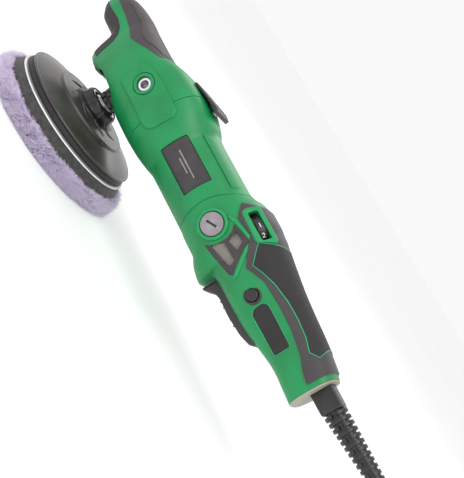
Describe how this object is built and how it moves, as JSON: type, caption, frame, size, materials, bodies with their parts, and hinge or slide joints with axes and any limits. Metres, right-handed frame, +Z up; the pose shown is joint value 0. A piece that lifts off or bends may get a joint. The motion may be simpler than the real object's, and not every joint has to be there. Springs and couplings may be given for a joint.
{
  "type": "dual action polisher",
  "caption": "Corded hand-held dual action polisher: motor along the body, bevel drive, eccentric pin and free-turning round pad.",
  "frame": {"origin": "point on the pad's working face that lies on the spindle's axis", "axes": "+Z up along the spindle, away from the work; +X along the motor from the nose to the tail; the dial is on the -Y side"},
  "size_m": [0.653, 0.1605, 0.1302],
  "materials": {
    "green_housing": "satin moulded ABS",
    "green_bezel": "smooth moulded ABS",
    "grip_rubber": "fine textured overmould",
    "dark_plastic": "moulded nylon",
    "plate_plastic": "satin moulded nylon",
    "black_plastic": "moulded nylon",
    "cap_grey": "matt thermoset",
    "cast_aluminium": "as cast",
    "ground_steel": "ground",
    "plated_steel": "nickel plated",
    "blackened_steel": "oxide black",
    "laminated_steel": "stacked sheet",
    "enamelled_copper": "enamelled winding",
    "copper_bars": "turned",
    "brass": "pressed sheet",
    "carbon": "pressed carbon",
    "board": "printed board",
    "lilac_wool": "tufted wool pile",
    "charcoal_foam": "open cell foam",
    "white_loop": "brushed loop fabric",
    "hook_tape": "moulded hooks",
    "black_foam": "moulded polyurethane foam",
    "cord_rubber": "smooth rubber jacket"
  },
  "bodies": {
    "housing": {"gear_case": "cast_aluminium", "bearing_nose": "cast_aluminium", "spindle_bearings": "plated_steel", "motor_bearings": "plated_steel", "side_inserts": "plated_steel", "head_cover_left": "green_housing", "head_cover_right": "green_housing", "nose_grip_upper": "grip_rubber", "nose_grip_lower": "grip_rubber", "motor_housing": "green_housing", "name_plates": "dark_plastic", "stator_core": "laminated_steel", "field_coils": "enamelled_copper", "rear_housing_left": "green_housing", "rear_housing_right": "green_housing", "brush_caps": "cap_grey", "brush_holders": "brass", "carbon_brushes": "carbon", "brush_springs": "brass", "vent_panels": "dark_plastic", "dial_bezel": "green_bezel", "speed_board": "board", "switch_body": "black_plastic", "handle_grip": "grip_rubber", "handle_insets": "grip_rubber", "housing_screws": "blackened_steel", "strain_relief": "grip_rubber", "cord_clamp": "dark_plastic", "trigger_spring": "ground_steel", "power_cord": "cord_rubber", "cord_coil": "cord_rubber", "coil_tie": "cord_rubber", "mains_plug": "black_plastic"},
    "spindle": {"spindle": "ground_steel", "bevel_gear": "ground_steel", "gear_key": "blackened_steel", "counterweight": "blackened_steel", "spindle_collar": "black_plastic", "pad_screw": "blackened_steel"},
    "pad": {"wool_pad": "lilac_wool", "pad_foam": "charcoal_foam", "loop_backing": "white_loop", "hook_face": "hook_tape", "plate_cushion": "black_foam", "backing_plate": "plate_plastic", "pad_hub": "black_plastic", "pad_bearing": "plated_steel", "plate_screws": "blackened_steel"},
    "armature": {"armature_shaft": "ground_steel", "armature_core": "laminated_steel", "armature_windings": "enamelled_copper", "commutator": "copper_bars", "cooling_fan": "dark_plastic", "bevel_pinion": "ground_steel", "lock_collar": "blackened_steel"},
    "dial": {"speed_dial": "black_plastic"},
    "trigger": {"trigger": "dark_plastic"},
    "lock_on": {"lock_on_button": "black_plastic"},
    "lock_lever": {"lock_lever": "dark_plastic"},
    "lock_pin": {"lock_pin": "ground_steel"}
  },
  "joints": [
    {"name": "motor_spin", "type": "hinge", "parent": "housing", "child": "armature", "pos_m": [0, 0, 0.0885], "axis": [1, 0, 0], "continuous": true},
    {"name": "spindle_spin", "type": "hinge", "parent": "housing", "child": "spindle", "pos_m": [0, 0, 0], "axis": [0, 0, 1], "continuous": true},
    {"name": "pad_spin", "type": "hinge", "parent": "spindle", "child": "pad", "pos_m": [0, -0.004, 0], "axis": [0, 0, 1], "continuous": true},
    {"name": "trigger_pull", "type": "hinge", "parent": "housing", "child": "trigger", "pos_m": [0.233, 0, 0.071], "axis": [0, 1, 0], "range_deg": [0, 5.5], "stiffness_Nm_per_rad": 0.5, "springref_deg": -5.73},
    {"name": "lock_on_press", "type": "slide", "parent": "housing", "child": "lock_on", "axis": [0, 1, 0], "range_m": [0, 0.003], "stiffness_N_per_m": 300, "springref_m": -0.002},
    {"name": "lock_lever_tilt", "type": "hinge", "parent": "housing", "child": "lock_lever", "pos_m": [0.038, 0, 0.1244], "axis": [0, 1, 0], "range_deg": [0, 5]},
    {"name": "lock_pin_drop", "type": "slide", "parent": "housing", "child": "lock_pin", "axis": [0, 0, -1], "range_m": [0, 0.00192], "stiffness_N_per_m": 300, "springref_m": -0.001},
    {"name": "speed_dial_turn", "type": "hinge", "parent": "housing", "child": "dial", "pos_m": [0.1665, -0.0151, 0.1092], "axis": [0, 0.6428, 0.766], "range_deg": [-20, 230]}
  ],
  "couplings": [
    {"joint": "spindle_spin", "follows": "motor_spin", "ratio": 0.29412},
    {"joint": "lock_lever_tilt", "follows": "lock_pin_drop", "rad_per_m": 45.455}
  ]
}
